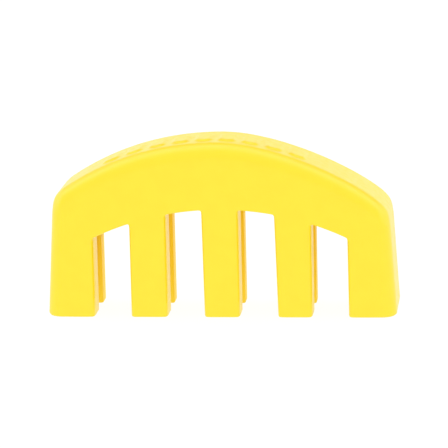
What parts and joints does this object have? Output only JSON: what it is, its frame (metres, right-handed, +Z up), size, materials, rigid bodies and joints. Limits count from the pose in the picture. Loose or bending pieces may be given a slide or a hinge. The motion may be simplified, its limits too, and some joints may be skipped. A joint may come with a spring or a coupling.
{
  "type": "violin practice mute",
  "caption": "Arched yellow rubber comb that drops over a violin bridge: gaps clear the strings and a lengthways slot between front and rear legs takes the bridge.",
  "frame": {"origin": "middle of the bounding box on the plane that the feet stand on", "axes": "+X along the comb to the right seen from the front, +Y from the front face to the rear face, +Z up from the feet to the crest"},
  "size_m": [0.054, 0.0126, 0.027],
  "materials": {
    "yellow_rubber": "satin"
  },
  "bodies": {
    "crown": {"crown": "yellow_rubber"},
    "left_end_leg": {"left_end_leg": "yellow_rubber"},
    "right_end_leg": {"right_end_leg": "yellow_rubber"},
    "front_left_leg": {"front_left_leg": "yellow_rubber"},
    "front_middle_leg": {"front_middle_leg": "yellow_rubber"},
    "front_right_leg": {"front_right_leg": "yellow_rubber"},
    "rear_left_leg": {"rear_left_leg": "yellow_rubber"},
    "rear_middle_leg": {"rear_middle_leg": "yellow_rubber"},
    "rear_right_leg": {"rear_right_leg": "yellow_rubber"}
  },
  "joints": [
    {"name": "left_end_flex", "type": "hinge", "parent": "crown", "child": "left_end_leg", "pos_m": [-0.02296, 0, 0.01231], "axis": [0, 1, 0], "range_deg": [-3, 3], "stiffness_Nm_per_rad": 0.2},
    {"name": "right_end_flex", "type": "hinge", "parent": "crown", "child": "right_end_leg", "pos_m": [0.02296, 0, 0.01231], "axis": [0, 1, 0], "range_deg": [-3, 3], "stiffness_Nm_per_rad": 0.2},
    {"name": "front_left_flex", "type": "hinge", "parent": "crown", "child": "front_left_leg", "pos_m": [-0.01112, -0.00385, 0.01537], "axis": [1, 0, 0], "range_deg": [-6, 6], "stiffness_Nm_per_rad": 0.025},
    {"name": "front_middle_flex", "type": "hinge", "parent": "crown", "child": "front_middle_leg", "pos_m": [0.00007, -0.00385, 0.01675], "axis": [1, 0, 0], "range_deg": [-6, 6], "stiffness_Nm_per_rad": 0.025},
    {"name": "front_right_flex", "type": "hinge", "parent": "crown", "child": "front_right_leg", "pos_m": [0.01128, -0.00385, 0.01533], "axis": [1, 0, 0], "range_deg": [-6, 6], "stiffness_Nm_per_rad": 0.025},
    {"name": "rear_left_flex", "type": "hinge", "parent": "crown", "child": "rear_left_leg", "pos_m": [-0.01112, 0.00455, 0.01537], "axis": [1, 0, 0], "range_deg": [-6, 6], "stiffness_Nm_per_rad": 0.01},
    {"name": "rear_middle_flex", "type": "hinge", "parent": "crown", "child": "rear_middle_leg", "pos_m": [0.00007, 0.00455, 0.01675], "axis": [1, 0, 0], "range_deg": [-6, 6], "stiffness_Nm_per_rad": 0.01},
    {"name": "rear_right_flex", "type": "hinge", "parent": "crown", "child": "rear_right_leg", "pos_m": [0.01128, 0.00455, 0.01533], "axis": [1, 0, 0], "range_deg": [-6, 6], "stiffness_Nm_per_rad": 0.01}
  ]
}
